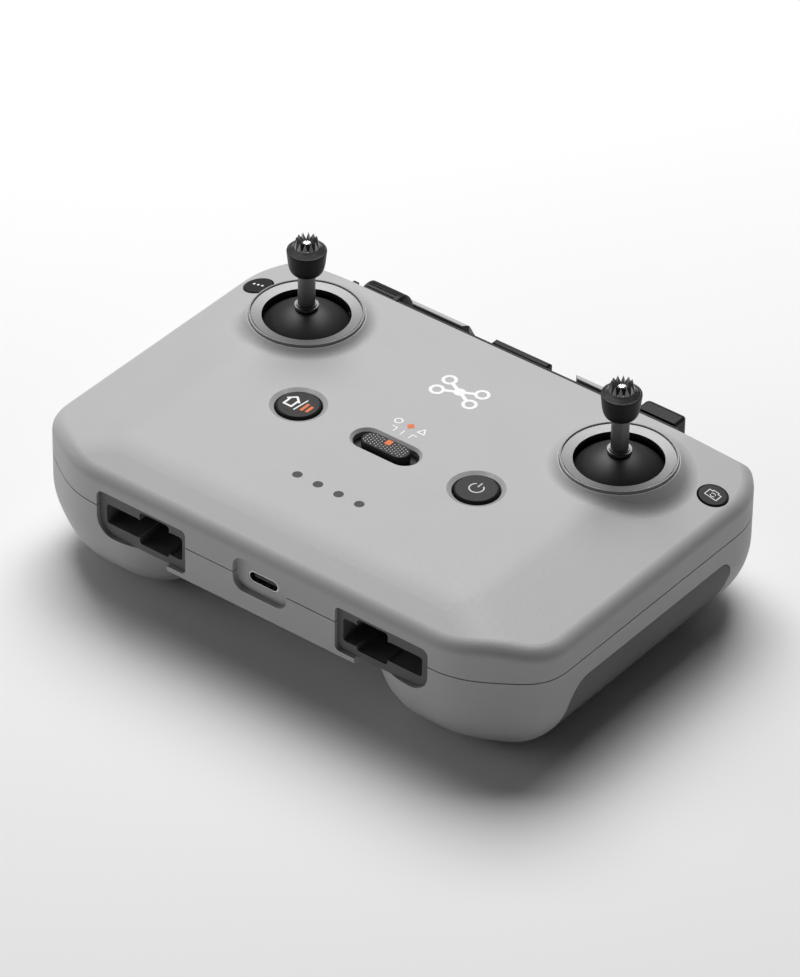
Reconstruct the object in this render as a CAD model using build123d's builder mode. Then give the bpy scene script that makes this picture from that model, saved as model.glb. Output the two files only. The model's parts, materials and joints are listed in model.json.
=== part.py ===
from build123d import *
from math import atan2, cos, degrees, radians, sin, sqrt
import os

# Radio transmitter controller with two screw-in sticks and a pull-out phone holder.
# X runs right, Y runs away from the user, Z runs up out of the control face. Millimetres.

os.makedirs("parts", exist_ok=True)

# ---------------------------------------------------------------- driving dimensions
HALF_WIDTH = 75.0
NEAR = -52.1
FAR = 52.1
TOP = 38.8
SEAM = 25.9
STICK_TOP = 62.8
WALL = 2.2
SEAM_GAP = 0.15
LIP = 0.9
FIT = 0.1
CLEAR = 0.35

# Plan outline of the casing
NEAR_CORNER = (50.0, -33.0)
NEAR_CORNER_FULLNESS = 0.67
FAR_CORNER = (56.0, 33.1)

# Slopes of the control face: side wings, near slope and the far shoulders
WING_START = (51.0, TOP)
WING_END = (75.0, 34.0)
APRON_START = (-40.5, TOP)
APRON_END = (-52.1, 34.7)
SHOULDER_START = (43.5, TOP)
SHOULDER_END = (52.1, 27.5)
CREASE_RADIUS = 26.0
EDGE_RADIUS = 3.6

# Grips under the casing
GRIP_RADIUS = 18.7
GRIP_INNER = 25.3
GRIP_FLAT_RADIUS = 1.5
GRIP_SKIN = 1.2
GRIP_ZONE_X = 58.0
BELLY = 16.2
BELLY_HALF = 28.0
BELLY_ROUND = 0.8

# Far recess that holds the phone holder, dial and shutter button
RECESS_HALF = 49.3
RECESS_WALL = 43.5
RECESS_FLOOR = 14.8
PANEL_THICK = 1.3

# Sticks and their gimbals
STICK_X = 46.9
STICK_Y = 23.56
PIVOT_Z = 28.4
DOME_RADIUS = 14.5
DOME_THICK = 1.2
DOME_MOUTH_ANGLE = 9.0
DOME_HALF_ANGLE = 68.0
RING_RADIUS = 14.15
RING_OPENING = 10.9
RING_RIM = 41.4
FLARE_LOW = (19.5, 32.0)
FLARE_HIGH = (14.5, 40.7)
FLARE_ROUND = 4.0
STUB_TOP = 45.2
COLLAR_LOW = 43.0
COLLAR_STEP = 43.7
SHAFT_BOTTOM = 44.1
SHAFT_TOP = 55.0
SHAFT_RADIUS = 2.15
STUB_RADIUS = 1.2
KNOB_BOTTOM = 52.9
KNOB_RIM = 59.6
KNOB_RADIUS = 4.9
CROWN_RADIUS = 4.3
CROWN_TEETH = 12

# Buttons on the control face
BUTTON_X = 26.6
BUTTON_Y = -4.7
BUTTON_RADIUS = 5.3
BUTTON_HOLE = 5.9
BUTTON_DISH = 7.05
BUTTON_TOP = 38.9
WING_BUTTON = (68.4, 31.6, 35.35)
WING_BUTTON_RADIUS = 3.53
WING_BUTTON_HOLE = 3.9

# Mode switch, lights
SWITCH_Y = -5.0
SWITCH_SLOT = (18.2, 7.0)
SWITCH_BEVEL = 0.7
SWITCH_PILL = (13.5, 5.2)
SWITCH_TOP = 39.3
SWITCH_THICK = 2.0
LED_PITCH = 6.14
LED_Y = -26.7
LED_RADIUS = 1.25
LED_COUNT = 4

# Near wall: stick stores and charging port
STORE_LOW = (22.3, 18.0)
STORE_HIGH = (49.3, 30.5)
STORE_CORNERS = (1.4, 1.8, 5.0, 1.4)
STORE_RECESS = 1.0
STORE_DEPTH = 10.6
STORE_SPACES = (((24.0, 20.8), (28.2, 27.3)), ((28.0, 19.8), (37.0, 28.9)), ((36.8, 21.3), (47.0, 26.8)))
PORT_Z = 25.9
PORT_POCKET = (16.0, 9.4)
PORT_POCKET_Z = 26.3
PORT_POCKET_DEPTH = 1.5
PORT_SIZE = (8.9, 3.2)

# Pull-out phone holder
CLAMP_INNER = 16.2
CLAMP_OUTER = 33.7
CLAMP_NEAR = 46.8
CLAMP_FAR = 51.8
CLAMP_LOW = 15.8
CLAMP_TOP = 37.6
CLAMP_TOP_DEPTH = 1.3
CLAMP_CORNER = 1.2
TRACK_NEAR = -6.0
RAIL_FLOOR = 25.2

# Dial and shutter button
DIAL_LOW = 35.6
DIAL_HIGH = 47.1
DIAL_RADIUS = 5.0
DIAL_Y = 46.4
DIAL_Z = 33.0
DIAL_RIBS = 28
AXLE_RADIUS = 1.0
SHUTTER_NEAR = 46.0
SHUTTER_FAR = 51.4

# Insides
CELL_RADIUS = 9.1
CELL_LENGTH = 65.0
CELL_X = 54.0
CELL_Y = 4.0
CELL_Z = 11.8
SCREW_PLACES = ((54.0, -35.5, 7.0), (68.3, -4.0, 11.0), (19.5, -12.0, 18.0))
SCREW_TIP = 31.0
SCREW_RADIUS = 1.0
SCREW_HEAD = 1.9
POST_RADIUS = 2.9
BUTTON_BOARD_Z = 31.6
MAIN_BOARD_Z = 22.7
BOARD_THICK = 1.2
SIDES = {"left": -1, "right": 1}


def save(piece, name):
    """Labels a finished piece and writes it as its own file."""
    piece.part.label = name
    export_step(piece.part, f"parts/{name}.step")


def shifted(start, end, inset):
    """Moves a slope's line inwards by inset, at right angles to itself."""
    run = (end[0] - start[0], end[1] - start[1])
    length = sqrt(run[0] ** 2 + run[1] ** 2)
    side = 1 if run[0] > 0 else -1
    normal = (-run[1] * side / length, run[0] * side / length)
    low = (start[0] - normal[0] * inset, start[1] - normal[1] * inset)
    high = (end[0] - normal[0] * inset, end[1] - normal[1] * inset)
    return low, high


def cut_slope(plane, start, end, inset):
    """Takes away what lies above the line from start to end, along the whole casing."""
    low, high = shifted(start, end, inset)
    reach = (high[0] + 2 * (high[0] - low[0]), high[1] + 2 * (high[1] - low[1]))
    back = (low[0] - 2 * (high[0] - low[0]), low[1] - 2 * (high[1] - low[1]))
    with BuildSketch(plane) as wedge:
        Polygon(back, reach, (reach[0], TOP * 2), (back[0], TOP * 2), align=None)
    extrude(wedge.sketch, amount=2 * HALF_WIDTH, both=True, mode=Mode.SUBTRACT)


def plan_half(inset):
    """Right half of the casing's outline in plan, moved inwards by inset."""
    corner_x, corner_y = NEAR_CORNER
    reach_x = HALF_WIDTH - corner_x - inset
    reach_y = corner_y - NEAR - inset
    middle = (corner_x + reach_x * NEAR_CORNER_FULLNESS, corner_y - reach_y * NEAR_CORNER_FULLNESS)
    side = HALF_WIDTH - inset
    Line((0, NEAR + inset), (corner_x, NEAR + inset))
    Spline((corner_x, NEAR + inset), middle, (side, corner_y), tangents=((1, 0), (0, 1)))
    Line((side, corner_y), (side, FAR_CORNER[1]))
    CenterArc(FAR_CORNER, side - FAR_CORNER[0], 0, 90)
    Line((FAR_CORNER[0], FAR - inset), (0, FAR - inset))


def plan_block(inset, low, high):
    """A prism of the casing's outline between two heights."""
    with BuildPart() as block:
        with BuildSketch(Plane.XY.offset(low)):
            with BuildLine():
                plan_half(inset)
                mirror(about=Plane.YZ)
            make_face()
        extrude(amount=high - low)
    return block.part


def upper_form(inset, rounded):
    """The casing above its grips: wings, apron and shoulders slope down from the control face."""
    with BuildPart() as form:
        add(plan_block(inset, GRIP_RADIUS, TOP - inset))
        cut_slope(Plane.XZ, WING_START, WING_END, inset)
        cut_slope(Plane.XZ, (-WING_START[0], WING_START[1]), (-WING_END[0], WING_END[1]), inset)
        cut_slope(Plane.YZ, APRON_START, APRON_END, inset)
        cut_slope(Plane.YZ, SHOULDER_START, SHOULDER_END, inset)
        if rounded:
            fillet(face_creases(form), CREASE_RADIUS)
            fillet(rim_edges(form), EDGE_RADIUS)
    return form.part


def face_creases(form):
    """Edges round the flat of the control face, except the ones at the far shoulder."""
    creases = [
        edge
        for edge in form.edges().filter_by(GeomType.LINE)
        if max((edge @ 0).Z, (edge @ 1).Z) > TOP - FIT and (edge @ 0.5).Y < SHOULDER_START[0] - 1
    ]
    return ShapeList(creases)


def rim_edges(form):
    """Edges where the sloping control face meets the casing's upright walls."""
    lowest_rim = SHOULDER_END[1] - 1
    rims = form.edges().filter_by_position(Axis.Z, lowest_rim, WING_START[1] - 2)
    walls = form.faces().filter_by(lambda face: abs(face.normal_at().Z) < 0.01)
    on_walls = [edge for wall in walls for edge in wall.edges()]
    upright = form.edges().filter_by(Axis.Z)
    chosen = [edge for edge in rims if edge in on_walls and edge not in upright]
    return ShapeList(chosen)


def grip_half(inset):
    """One section of the right grip, as the outline of a rounded box."""
    inner = GRIP_INNER + inset
    side = HALF_WIDTH - inset
    inner_x = GRIP_INNER + GRIP_RADIUS
    low_y = NEAR + GRIP_RADIUS
    corner_x, corner_y = NEAR_CORNER
    reach_x = side - corner_x
    reach_y = corner_y - NEAR - inset
    middle = (corner_x + reach_x * NEAR_CORNER_FULLNESS, corner_y - reach_y * NEAR_CORNER_FULLNESS)
    radius = GRIP_RADIUS - inset
    high_y = FAR - GRIP_RADIUS
    Line((inner, high_y), (inner, low_y))
    CenterArc((inner_x, low_y), radius, 180, 90)
    Line((inner_x, NEAR + inset), (corner_x, NEAR + inset))
    Spline((corner_x, NEAR + inset), middle, (side, corner_y), tangents=((1, 0), (0, 1)))
    Line((side, corner_y), (side, FAR_CORNER[1]))
    CenterArc(FAR_CORNER, side - FAR_CORNER[0], 0, 90)
    Line((FAR_CORNER[0], FAR - inset), (inner_x, FAR - inset))
    CenterArc((inner_x, high_y), radius, 90, 90)


def grip_form(inset):
    """Right grip below the casing, rounded all round its foot."""
    radius = GRIP_RADIUS - inset
    last = degrees(atan2(sqrt(radius ** 2 - GRIP_FLAT_RADIUS ** 2), GRIP_FLAT_RADIUS))
    with BuildPart() as form:
        for turn in (0, 14, 28, 42, 56, 70, last):
            depth = GRIP_RADIUS - radius * cos(radians(turn))
            height = GRIP_RADIUS - radius * sin(radians(turn))
            if turn == last:
                height = inset
            with BuildSketch(Plane.XY.offset(height)):
                with BuildLine():
                    grip_half(depth)
                make_face()
        loft()
    return form.part


def belly_form(inset):
    """Flat middle of the underside, rounded where it meets the near wall."""
    near = NEAR + inset
    floor = BELLY + inset
    with BuildPart() as form:
        with BuildSketch(Plane.YZ) as profile:
            with BuildLine():
                Line((FAR - inset, floor), (near + BELLY_ROUND, floor))
                CenterArc((near + BELLY_ROUND, floor + BELLY_ROUND), BELLY_ROUND, 180, 90)
                Polyline(
                    (near, floor + BELLY_ROUND),
                    (near, SEAM - 4),
                    (FAR - inset, SEAM - 4),
                    (FAR - inset, floor),
                )
            make_face()
        extrude(amount=BELLY_HALF, both=True)
    return form.part


def casing_form(inset, rounded):
    """Whole outside or inside of the casing as one solid."""
    upper = upper_form(inset, rounded)
    grip = grip_form(inset)
    with BuildPart() as form:
        add(upper)
        add(grip)
        add(mirror(grip, about=Plane.YZ, mode=Mode.PRIVATE))
        add(belly_form(inset))
        half = RECESS_HALF + inset
        wall = RECESS_WALL - inset
        with BuildSketch(Plane.XY.offset(RECESS_FLOOR - inset)):
            with Locations((0, wall)):
                Rectangle(2 * half, 2 * FAR, align=(Align.CENTER, Align.MIN))
        extrude(amount=2 * TOP, mode=Mode.SUBTRACT)
    return form.part


# ---------------------------------------------------------------- casing shells
outside = casing_form(0, True)
inside = casing_form(WALL, False)


def box_between(low, high, mode=Mode.ADD):
    """Box given by its lowest and highest corners."""
    size = [b - a for a, b in zip(low, high)]
    middle = [(a + b) / 2 for a, b in zip(low, high)]
    with Locations(tuple(middle)):
        Box(*size, mode=mode)


def near_plane(depth):
    """Plane on the near wall, looking from the user's side, depth millimetres in."""
    return Plane((0, NEAR + depth, 0), x_dir=(1, 0, 0), z_dir=(0, -1, 0))


def wing_plane(side, lift):
    """Plane on a side wing at its small button, lift millimetres above the surface."""
    slope = atan2(WING_START[1] - WING_END[1], WING_END[0] - WING_START[0])
    normal = (side * sin(slope), 0, cos(slope))
    x, y, z = WING_BUTTON
    origin = (side * x + normal[0] * lift, y, z + normal[2] * lift)
    return Plane(origin, x_dir=(normal[2], 0, -normal[0]), z_dir=normal)


def round_bar(plane, radius, length, mode=Mode.ADD):
    """Round bar or hole that starts on a plane and runs back from it."""
    with BuildSketch(plane) as circle:
        Circle(radius)
    extrude(circle.sketch, amount=-length, mode=mode)


def store_outline(inset):
    """Outline of the right stick store; its low outer corner follows the grip."""
    inner, outer = STORE_LOW[0] + inset, STORE_HIGH[0] - inset
    low, high = STORE_LOW[1] + inset, STORE_HIGH[1] - inset
    with BuildSketch() as outline:
        with BuildLine():
            FilletPolyline(
                (inner, high), (outer, high), (outer, low), (inner, low), radius=STORE_CORNERS, close=True
            )
        make_face()
    return outline.sketch


def cut_near_wall():
    """Openings of the two stick stores and of the charging port's pocket."""
    with BuildSketch(near_plane(-1)) as openings:
        add(store_outline(0))
        add(mirror(store_outline(0), about=Plane.YZ, mode=Mode.PRIVATE))
        with Locations((0, PORT_POCKET_Z)):
            RectangleRounded(*PORT_POCKET, PORT_POCKET[1] / 3)
    extrude(openings.sketch, amount=-STORE_DEPTH - 2, mode=Mode.SUBTRACT)


def cut_far_wall():
    """Window for the holder's stages, dial window and shutter stem hole."""
    wall = (RECESS_WALL - WALL - 1, RECESS_WALL + 1)
    box_between((-22.4, wall[0], RAIL_FLOOR + 1), (22.4, wall[1], 30.3), Mode.SUBTRACT)
    box_between((-DIAL_HIGH - 1, wall[0], 27.6), (-DIAL_LOW + 1, wall[1], 37.4), Mode.SUBTRACT)
    shutter_x = (DIAL_LOW + DIAL_HIGH) / 2
    with Locations(Location((shutter_x, RECESS_WALL, DIAL_Z), (90, 0, 0))):
        Cylinder(1.9, 4 * WALL, mode=Mode.SUBTRACT)


def grip_zone(inset):
    """Rounded window on the casing's right side that the soft side grip fills."""
    with BuildPart() as zone:
        with BuildSketch(Plane.YZ.offset(GRIP_ZONE_X)):
            with BuildLine():
                FilletPolyline(
                    (-34.0 + inset, 2.0 + inset),
                    (-31.2 + inset, 20.4 - inset),
                    (32.2 - inset, 20.4 - inset),
                    (27.0 - inset, 2.0 + inset),
                    radius=(5.5, 7.5, 4.0, 4.0),
                    close=True,
                )
            make_face()
        extrude(amount=HALF_WIDTH)
    return zone.part


def flare_feet(form):
    """Edges where the flares round the sticks meet the control face."""
    feet = []
    for edge in form.edges():
        middle = edge @ 0.5
        reach = sqrt((abs(middle.X) - STICK_X) ** 2 + (middle.Y - STICK_Y) ** 2)
        if FLARE_HIGH[0] + 0.3 < reach < FLARE_LOW[0] - 0.3 and middle.Z > FLARE_LOW[1] + 0.5:
            feet.append(edge)
    return ShapeList(feet)


skin = outside - casing_form(GRIP_SKIN, False)
grip_pocket = skin & grip_zone(0)

with BuildPart() as right_side_grip:
    add(skin & grip_zone(SEAM_GAP))
save(right_side_grip, "right_side_grip")

with BuildPart() as left_side_grip:
    add(mirror(right_side_grip.part, about=Plane.YZ, mode=Mode.PRIVATE))
save(left_side_grip, "left_side_grip")

with BuildPart() as flared:
    add(outside)
    flare_height = FLARE_HIGH[1] - FLARE_LOW[1]
    for side in SIDES.values():
        with Locations((side * STICK_X, STICK_Y, FLARE_LOW[1] + flare_height / 2)):
            Cone(FLARE_LOW[0], FLARE_HIGH[0], flare_height)
    fillet(flare_feet(flared), FLARE_ROUND)

with BuildPart() as top_shell:
    add(flared.part)
    add(inside, mode=Mode.SUBTRACT)
    box_between((-80, -60, -5), (80, 60, SEAM + SEAM_GAP), Mode.SUBTRACT)
    box_between((-RECESS_HALF, RECESS_WALL, 0), (RECESS_HALF, 70, 60), Mode.SUBTRACT)
    for side in SIDES.values():
        with Locations((side * STICK_X, STICK_Y, 36)):
            Cylinder(RING_RADIUS + 0.05, 20, mode=Mode.SUBTRACT)
        round_bar(wing_plane(side, 2), WING_BUTTON_HOLE, 8, Mode.SUBTRACT)
        for x, y, _ in SCREW_PLACES:
            with BuildSketch(Plane.XY.offset(SEAM + 2)) as post:
                with Locations((side * x, y)):
                    Circle(POST_RADIUS)
            added = extrude(post.sketch, amount=TOP - SEAM - 3, mode=Mode.PRIVATE)
            add(added & outside)
            with Locations((side * x, y, SEAM + 4)):
                Cylinder(SCREW_RADIUS, 9, mode=Mode.SUBTRACT)
        with Locations((side * BUTTON_X, BUTTON_Y, TOP - 2)):
            Cylinder(BUTTON_HOLE, 12, mode=Mode.SUBTRACT)
        with Locations((side * BUTTON_X, BUTTON_Y, TOP - 0.3)):
            Cone(BUTTON_HOLE, BUTTON_DISH, 0.602, mode=Mode.SUBTRACT)
    with BuildSketch(Plane.XY.offset(TOP + 1)) as slot:
        with Locations((0, SWITCH_Y)):
            SlotOverall(*SWITCH_SLOT)
    extrude(slot.sketch, amount=-8, mode=Mode.SUBTRACT)
    slot_rim = top_shell.edges().filter_by_position(Axis.Z, TOP - 0.01, TOP + 0.01)
    slot_rim = slot_rim.filter_by_position(Axis.X, -10, 10).filter_by_position(Axis.Y, SWITCH_Y - 5, SWITCH_Y + 5)
    chamfer(slot_rim, SWITCH_BEVEL)
    with Locations(*[((i - (LED_COUNT - 1) / 2) * LED_PITCH, LED_Y, TOP) for i in range(LED_COUNT)]):
        Cylinder(LED_RADIUS, 10, mode=Mode.SUBTRACT)
    cut_near_wall()
    cut_far_wall()
save(top_shell, "top_shell")

with BuildPart() as bottom_shell:
    add(outside)
    add(inside, mode=Mode.SUBTRACT)
    box_between((-80, -60, SEAM - SEAM_GAP), (80, 60, 80), Mode.SUBTRACT)
    add(plan_block(WALL - FIT, SEAM - 3, SEAM - SEAM_GAP) & outside)
    add(plan_block(WALL + FIT, SEAM - 3, SEAM + 1.6) & inside)
    add(plan_block(WALL + FIT + LIP, SEAM - 4, SEAM + 3), mode=Mode.SUBTRACT)
    lip_end = RECESS_HALF + 8
    box_between((-lip_end, RECESS_WALL - WALL - 6, SEAM - 0.5), (lip_end, 60, SEAM + 3), Mode.SUBTRACT)
    for side in SIDES.values():
        for x, y, seat in SCREW_PLACES:
            with BuildSketch() as foot:
                with Locations((side * x, y)):
                    Circle(POST_RADIUS)
            added = extrude(foot.sketch, amount=SEAM + 1.9, mode=Mode.PRIVATE)
            add(added & outside)
            with Locations((side * x, y, SEAM / 2)):
                Cylinder(SCREW_RADIUS + 0.15, 40, mode=Mode.SUBTRACT)
            with Locations((side * x, y, seat - TOP / 2)):
                Cylinder(SCREW_HEAD + 0.15, TOP, mode=Mode.SUBTRACT)
    cut_near_wall()
    cut_far_wall()
    add(grip_pocket, mode=Mode.SUBTRACT)
    add(mirror(grip_pocket, about=Plane.YZ, mode=Mode.PRIVATE), mode=Mode.SUBTRACT)
save(bottom_shell, "bottom_shell")


# ---------------------------------------------------------------- far side panel
with BuildPart() as rear_panel:
    box_between(
        (-RECESS_HALF + 0.3, RECESS_WALL, RECESS_FLOOR + 1.8),
        (RECESS_HALF - 0.3, RECESS_WALL + PANEL_THICK, TOP - 0.5),
    )
    lug_spans = ((-DIAL_HIGH - 1.7, -DIAL_HIGH - 0.4), (-DIAL_LOW + 0.4, -DIAL_LOW + 1.5))
    for low_x, high_x in lug_spans:
        box_between(
            (low_x, RECESS_WALL + PANEL_THICK, DIAL_Z - 2.4),
            (high_x, DIAL_Y + 1.6, DIAL_Z + 1.8),
        )
    box_between((-22.4, RECESS_WALL - 1, RAIL_FLOOR + 1), (22.4, FAR, 30.3), Mode.SUBTRACT)
    box_between((-DIAL_HIGH - 0.4, RECESS_WALL - 1, 27.0), (-DIAL_LOW + 0.4, FAR, TOP + 1), Mode.SUBTRACT)
    with Locations(Location(((DIAL_LOW + DIAL_HIGH) / 2, RECESS_WALL, DIAL_Z), (90, 0, 0))):
        Cylinder(1.9, 4 * WALL, mode=Mode.SUBTRACT)
    with Locations(Location((-(DIAL_LOW + DIAL_HIGH) / 2, DIAL_Y, DIAL_Z), (0, 90, 0))):
        Cylinder(AXLE_RADIUS, 30, mode=Mode.SUBTRACT)
save(rear_panel, "rear_panel")

# ---------------------------------------------------------------- sticks and gimbals
STICK_AXIS = Axis((STICK_X, STICK_Y, 0), (0, 0, 1))
STICK_PLANE = Plane((STICK_X, STICK_Y, 0), x_dir=(1, 0, 0), z_dir=(0, -1, 0))


def save_pair(piece, name):
    """Writes a right-hand piece and its mirror image on the left."""
    save(piece, f"right_{name}")
    with BuildPart() as twin:
        add(mirror(piece.part, about=Plane.YZ, mode=Mode.PRIVATE))
    save(twin, f"left_{name}")


def dome_point(angle, radius):
    """Point of a dome's profile, at an angle from the stick's axis."""
    return (radius * sin(radians(angle)), PIVOT_Z + radius * cos(radians(angle)))


with BuildPart() as stick_ring:
    with BuildSketch(STICK_PLANE):
        with BuildLine():
            Polyline(
                (RING_OPENING, 39.2),
                (RING_OPENING, 40.7),
                (13.35, 41.15),
                (13.35, 40.9),
                (13.6, 40.9),
                (13.6, 41.25),
                (13.75, RING_RIM),
                (14.0, RING_RIM),
                (RING_RADIUS, RING_RIM - 0.2),
                (RING_RADIUS, 37.4),
                (12.4, 37.4),
                close=True,
            )
        make_face()
    revolve(axis=STICK_AXIS)
save_pair(stick_ring, "stick_ring")

with BuildPart() as stick_dome:
    with BuildSketch(STICK_PLANE):
        with BuildLine():
            inner = DOME_RADIUS - DOME_THICK
            start = DOME_MOUTH_ANGLE
            Line(dome_point(start, inner), dome_point(start, DOME_RADIUS))
            ThreePointArc(
                dome_point(start, DOME_RADIUS),
                dome_point(DOME_HALF_ANGLE / 2, DOME_RADIUS),
                dome_point(DOME_HALF_ANGLE, DOME_RADIUS),
            )
            Line(dome_point(DOME_HALF_ANGLE, DOME_RADIUS), dome_point(DOME_HALF_ANGLE, inner))
            ThreePointArc(
                dome_point(DOME_HALF_ANGLE, inner),
                dome_point(DOME_HALF_ANGLE / 2, inner),
                dome_point(start, inner),
            )
        make_face()
    revolve(axis=STICK_AXIS)
save_pair(stick_dome, "stick_dome")

with BuildPart() as gimbal_hub:
    with Locations((STICK_X, STICK_Y, PIVOT_Z)):
        Box(6, 6, 6)
    with BuildSketch(STICK_PLANE):
        with BuildLine():
            Polyline(
                (0, PIVOT_Z),
                (3.2, PIVOT_Z),
                (2.05, PIVOT_Z + 5),
                (2.05, COLLAR_LOW),
                (2.95, COLLAR_LOW),
                (2.95, COLLAR_STEP),
                (2.5, COLLAR_STEP),
                (2.5, SHAFT_BOTTOM),
                (STUB_RADIUS, SHAFT_BOTTOM),
                (STUB_RADIUS, STUB_TOP),
                (0, STUB_TOP),
                close=True,
            )
        make_face()
    revolve(axis=STICK_AXIS)
    with Locations(Location((STICK_X, STICK_Y, PIVOT_Z), (90, 0, 0))):
        Cylinder(1.0, 12.6)
save_pair(gimbal_hub, "gimbal_hub")

YOKE_ARM = 16.0
YOKE_BASE = (22.7, 23.9)
PIN_GAP = 0.05
with BuildPart() as gimbal_yoke:
    box_between(
        (STICK_X - YOKE_ARM - 0.7, STICK_Y - 2.6, YOKE_BASE[0]),
        (STICK_X + YOKE_ARM + 0.7, STICK_Y + 2.6, YOKE_BASE[1]),
    )
    box_between((STICK_X - 2.5, STICK_Y - 6.6, YOKE_BASE[0]), (STICK_X + 2.5, STICK_Y + 6.6, YOKE_BASE[1]))
    for turn in (-1, 1):
        arm = sorted((STICK_X + turn * (YOKE_ARM - 0.8), STICK_X + turn * (YOKE_ARM + 0.7)))
        box_between((arm[0], STICK_Y - 2.6, YOKE_BASE[0]), (arm[1], STICK_Y + 2.6, PIVOT_Z + 2.2))
        post = sorted((STICK_Y + turn * 5.1, STICK_Y + turn * 6.6))
        box_between((STICK_X - 2.5, post[0], YOKE_BASE[0]), (STICK_X + 2.5, post[1], PIVOT_Z + 2.0))
        with Locations(Location((STICK_X + turn * (YOKE_ARM + 1.45), STICK_Y, PIVOT_Z), (0, 90, 0))):
            Cylinder(1.0, 2.1)
    with Locations(Location((STICK_X, STICK_Y, PIVOT_Z), (90, 0, 0))):
        Cylinder(1.0 + PIN_GAP, 20, mode=Mode.SUBTRACT)
save_pair(gimbal_yoke, "gimbal_yoke")

HOUSING_HALF = 18.6
HOUSING_Y = 15.6
with BuildPart() as gimbal_housing:
    low = (STICK_X - HOUSING_HALF, STICK_Y - HOUSING_Y, 21.1)
    high = (STICK_X + HOUSING_HALF, STICK_Y + HOUSING_Y, 31.2)
    box_between(low, high)
    hollow_low = (low[0] + 1.3, low[1] + 0.7, low[2] + 0.7)
    hollow_high = (high[0] - 1.3, high[1] - 0.7, high[2] + 1)
    box_between(hollow_low, hollow_high, Mode.SUBTRACT)
    box_between((STICK_X - 9, STICK_Y - 9, 20), (STICK_X + 9, STICK_Y + 9, 23), Mode.SUBTRACT)
    notch_low = (high[0] - 2.6, STICK_Y + 3.2, 26.5)
    box_between(notch_low, (high[0] + 1, high[1] + 1, high[2] + 1), Mode.SUBTRACT)
    with Locations(Location((STICK_X, STICK_Y, PIVOT_Z), (0, 90, 0))):
        Cylinder(1.0 + PIN_GAP, 60, mode=Mode.SUBTRACT)
save_pair(gimbal_housing, "gimbal_housing")

with BuildPart() as gimbal_sensors:
    for side in SIDES.values():
        wall_x = side * (STICK_X + HOUSING_HALF)
        span = sorted((wall_x, wall_x + side * 1.0))
        box_between((span[0], STICK_Y - 6, 22.5), (span[1], STICK_Y + 2.6, 30.8))
        with Locations(Location((wall_x + side * 1.6, STICK_Y, PIVOT_Z), (0, 90, 0))):
            Cylinder(1.8, 1.2)
save(gimbal_sensors, "gimbal_sensors")

with BuildPart() as stick_shaft:
    with BuildSketch(STICK_PLANE):
        with BuildLine():
            Polyline(
                (STUB_RADIUS + PIN_GAP, SHAFT_BOTTOM),
                (SHAFT_RADIUS, SHAFT_BOTTOM),
                (SHAFT_RADIUS, SHAFT_TOP),
                (0, SHAFT_TOP),
                (0, STUB_TOP + 0.2),
                (STUB_RADIUS + PIN_GAP, STUB_TOP + 0.2),
                close=True,
            )
        make_face()
    revolve(axis=STICK_AXIS)
save_pair(stick_shaft, "stick_shaft")

CROWN_BASE = KNOB_RIM - 0.9
with BuildPart() as stick_knob:
    with BuildSketch(STICK_PLANE):
        with BuildLine():
            Polyline(
                (0, SHAFT_TOP),
                (SHAFT_RADIUS, SHAFT_TOP),
                (SHAFT_RADIUS, KNOB_BOTTOM),
                (2.9, KNOB_BOTTOM),
            )
            Spline(
                (2.9, KNOB_BOTTOM),
                (4.2, KNOB_BOTTOM + 1.4),
                (4.65, KNOB_BOTTOM + 3.8),
                (KNOB_RADIUS, KNOB_RIM - 0.4),
                tangents=((1, 0.3), (0.1, 1)),
            )
            Polyline(
                (KNOB_RADIUS, KNOB_RIM - 0.4),
                (KNOB_RADIUS - 0.08, KNOB_RIM - 0.1),
                (KNOB_RADIUS - 0.35, KNOB_RIM),
                (CROWN_RADIUS, KNOB_RIM - 0.05),
                (CROWN_RADIUS, CROWN_BASE),
                (0, CROWN_BASE),
                (0, SHAFT_TOP),
            )
        make_face()
    revolve(axis=STICK_AXIS)
save_pair(stick_knob, "stick_knob")

CROWN_CORE = 0.9
CROWN_CORE_TOP = STICK_TOP - 1.4
TOOTH_TIP = 2.6
TOOTH_FOOT = 3.1
TOOTH_LOW = KNOB_RIM + 0.4
TOOTH_HALF = 0.82
with BuildPart() as crown_teeth:
    for index in range(CROWN_TEETH):
        turn = radians(index * 360 / CROWN_TEETH)
        tooth_plane = Plane(
            (STICK_X + CROWN_CORE * cos(turn), STICK_Y + CROWN_CORE * sin(turn), 0),
            x_dir=(-sin(turn), cos(turn), 0),
            z_dir=(cos(turn), sin(turn), 0),
        )
        with BuildSketch(tooth_plane) as tooth:
            Polygon((-TOOTH_HALF, TOOTH_LOW), (0, STICK_TOP), (TOOTH_HALF, TOOTH_LOW), align=None)
        extrude(tooth.sketch, amount=TOOTH_FOOT)
    with BuildSketch(STICK_PLANE) as tooth_ring:
        Polygon(
            (0, CROWN_BASE),
            (TOOTH_FOOT, CROWN_BASE),
            (TOOTH_FOOT, TOOTH_LOW + 0.5),
            (TOOTH_TIP, STICK_TOP),
            (CROWN_CORE, CROWN_CORE_TOP),
            (0, CROWN_CORE_TOP),
            align=None,
        )
    revolve(tooth_ring.sketch, axis=STICK_AXIS, mode=Mode.INTERSECT)

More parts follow.
